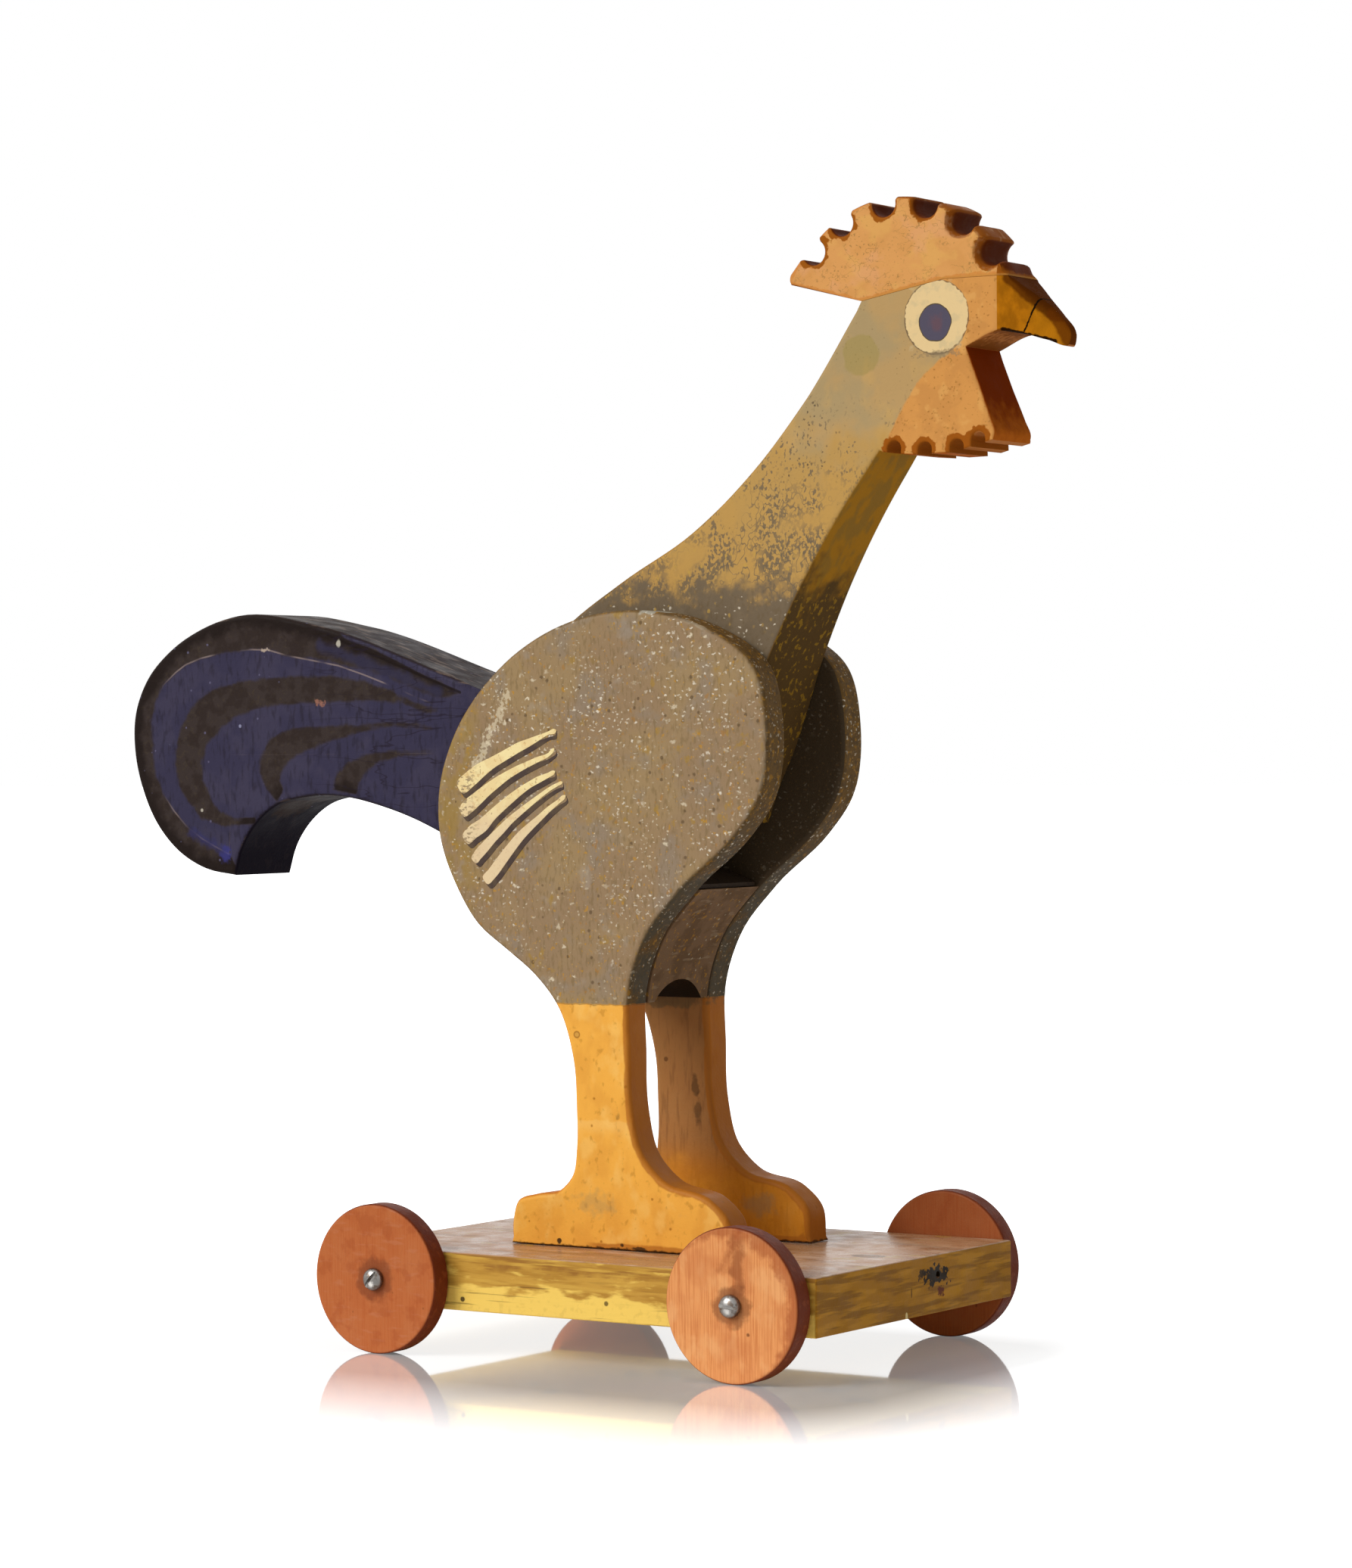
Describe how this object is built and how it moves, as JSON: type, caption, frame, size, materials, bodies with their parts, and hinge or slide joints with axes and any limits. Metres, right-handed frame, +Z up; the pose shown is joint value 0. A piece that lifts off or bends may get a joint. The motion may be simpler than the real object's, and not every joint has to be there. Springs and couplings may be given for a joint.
{
  "type": "pull-along rooster toy",
  "caption": "Painted wooden rooster sawn from boards, standing on a wheeled plank whose disc wheels roll on screws.",
  "frame": {"origin": "on the floor under the wheels, below the middle of the toy's overall box", "axes": "+X forwards, the way the beak points; +Y to the bird's left, along the axles; +Z up"},
  "size_m": [0.4544, 0.1778, 0.4555],
  "materials": {
    "plank_paint": "worn yellow ochre paint over sawn pine",
    "wheel_stain": "red-brown stain, end grain showing",
    "screw_steel": "dull, worn",
    "dowel_birch": "bare",
    "body_paint": "worn taupe paint with speckles, amber on the legs",
    "spacer_paint": "worn taupe paint",
    "neck_paint": "worn olive paint",
    "comb_paint": "worn salmon paint",
    "tail_paint": "worn dark blue paint"
  },
  "bodies": {
    "toy": {"plank": "plank_paint", "leg_spacer": "spacer_paint", "neck_and_head": "neck_paint", "comb": "comb_paint", "tail": "tail_paint", "side_board_right": "body_paint", "axle_screw_front_right": "screw_steel", "axle_screw_rear_right": "screw_steel", "foot_screw_right_heel": "screw_steel", "foot_screw_right_toe": "screw_steel", "side_board_left": "body_paint", "axle_screw_front_left": "screw_steel", "axle_screw_rear_left": "screw_steel", "foot_screw_left_heel": "screw_steel", "foot_screw_left_toe": "screw_steel", "neck_dowel_front": "dowel_birch", "tail_dowel_front": "dowel_birch", "spacer_dowel_front": "dowel_birch", "comb_dowel_front": "dowel_birch", "neck_dowel_rear": "dowel_birch", "tail_dowel_rear": "dowel_birch", "spacer_dowel_rear": "dowel_birch", "comb_dowel_rear": "dowel_birch"},
    "front_right_wheel": {"wheel_front_right": "wheel_stain"},
    "front_left_wheel": {"wheel_front_left": "wheel_stain"},
    "rear_right_wheel": {"wheel_rear_right": "wheel_stain"},
    "rear_left_wheel": {"wheel_rear_left": "wheel_stain"}
  },
  "joints": [
    {"name": "front_right_roll", "type": "hinge", "parent": "toy", "child": "front_right_wheel", "pos_m": [0.1222, -0.0804, 0.03], "axis": [0, 1, 0], "continuous": true},
    {"name": "front_left_roll", "type": "hinge", "parent": "toy", "child": "front_left_wheel", "pos_m": [0.1222, 0.0804, 0.03], "axis": [0, 1, 0], "continuous": true},
    {"name": "rear_right_roll", "type": "hinge", "parent": "toy", "child": "rear_right_wheel", "pos_m": [-0.0479, -0.0804, 0.03], "axis": [0, 1, 0], "continuous": true},
    {"name": "rear_left_roll", "type": "hinge", "parent": "toy", "child": "rear_left_wheel", "pos_m": [-0.0479, 0.0804, 0.03], "axis": [0, 1, 0], "continuous": true}
  ]
}
